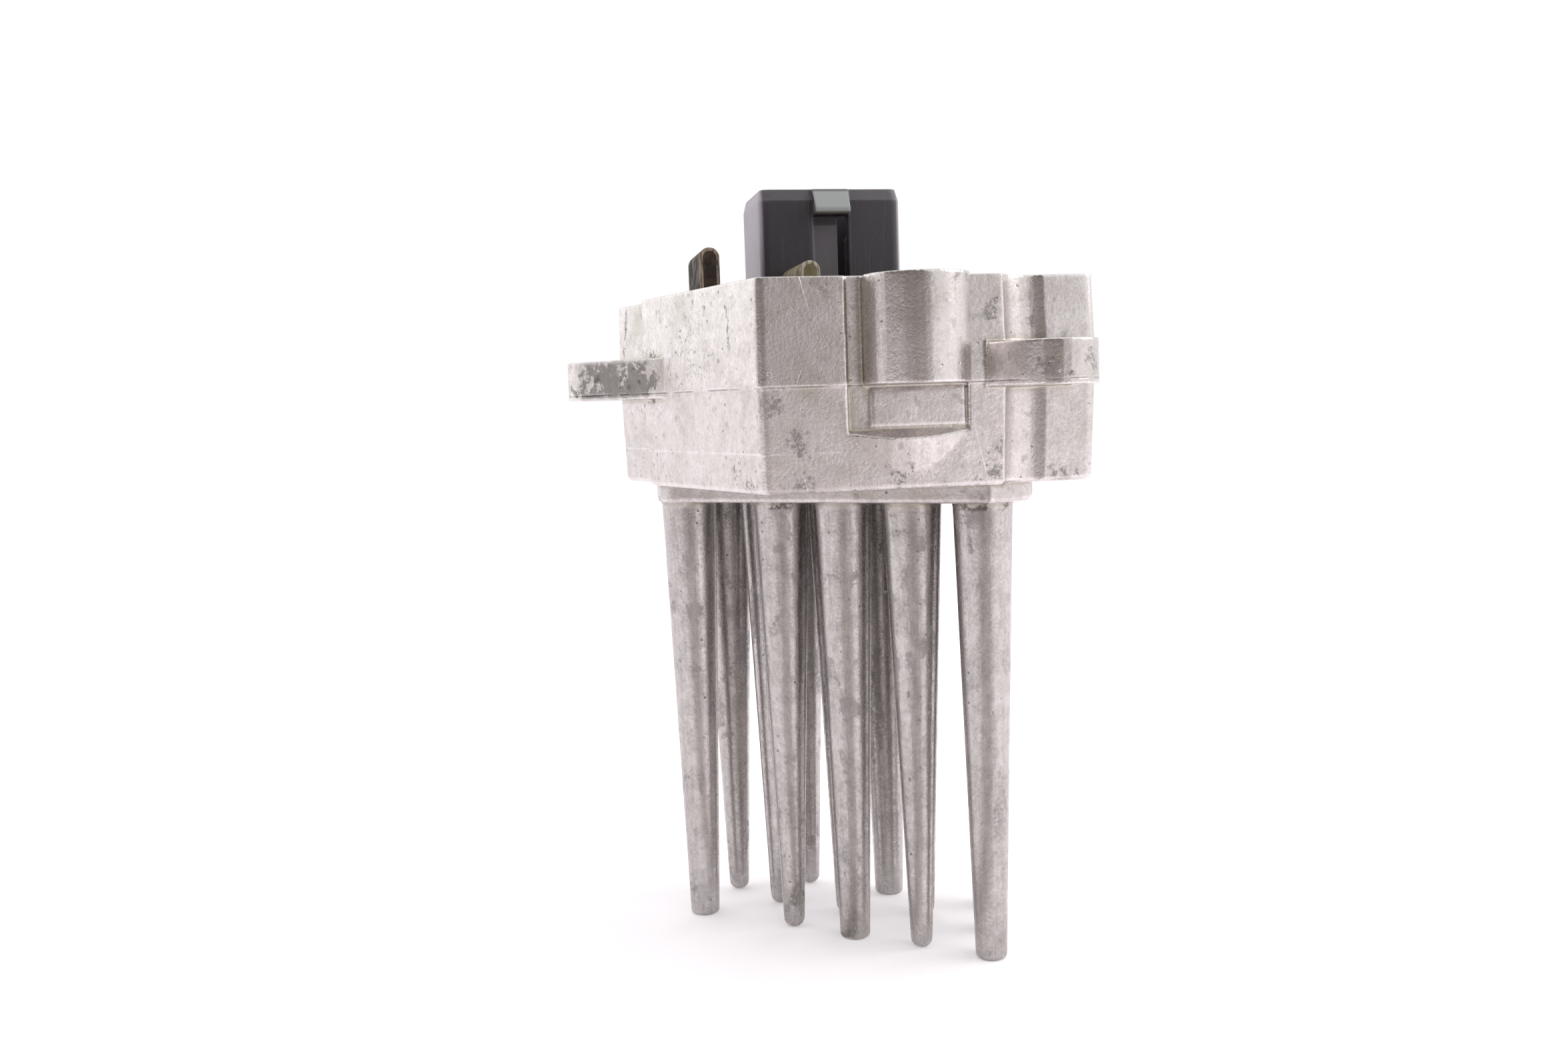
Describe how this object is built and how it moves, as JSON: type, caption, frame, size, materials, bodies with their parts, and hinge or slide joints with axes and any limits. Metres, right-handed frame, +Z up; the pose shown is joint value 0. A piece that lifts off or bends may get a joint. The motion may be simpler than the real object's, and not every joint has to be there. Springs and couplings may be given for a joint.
{
  "type": "blower motor resistor",
  "caption": "Blower speed regulator with a die-cast aluminium tray, long tapered cooling pins, two screw ears, a control connector and two folded motor blades.",
  "frame": {"origin": "middle of the footprint, at the level of the pin tips", "axes": "+Z up along the pins towards the connector mouth, +X along the front wall towards its recessed end, +Y from the front wall to the back wall"},
  "size_m": [0.0646, 0.0552, 0.1035],
  "materials": {
    "cast_aluminium": "bare die casting, stained and scuffed",
    "black_moulding": "moulded, satin",
    "seal_silicone": "translucent bead",
    "tinned_strip": "tarnished tin plate",
    "thermal_pad": "smooth",
    "transistor_epoxy": "moulded epoxy",
    "tinned_lead": "tin plate",
    "spring_steel": "cold rolled",
    "screw_steel": "zinc plate",
    "board_laminate": "solder mask",
    "capacitor_aluminium": "drawn can",
    "capacitor_rubber": "moulded seal",
    "chip_plastic": "moulded",
    "shunt_alloy": "bare strip",
    "ceramic": "fired ceramic"
  },
  "bodies": {
    "root": {"heat_sink": "cast_aluminium", "lid": "black_moulding", "sealing_bead": "seal_silicone", "motor_blade_left": "tinned_strip", "motor_blade_right": "tinned_strip", "control_pin_1": "tinned_strip", "control_pin_2": "tinned_strip", "control_pin_3": "tinned_strip", "insulating_pad_left": "thermal_pad", "insulating_pad_right": "thermal_pad", "transistor_left": "transistor_epoxy", "transistor_right": "transistor_epoxy", "transistor_leads_left": "tinned_lead", "transistor_leads_right": "tinned_lead", "capacitor_wires": "tinned_lead", "chip_legs": "tinned_lead", "clamp_spring": "spring_steel", "clamp_screw": "screw_steel", "board_screws": "screw_steel", "circuit_board": "board_laminate", "capacitor_can": "capacitor_aluminium", "capacitor_seal": "capacitor_rubber", "control_chip": "chip_plastic", "suppressor_diode": "chip_plastic", "chip_resistors": "chip_plastic", "shunt_strip": "shunt_alloy", "chip_capacitors": "ceramic"}
  },
  "joints": []
}
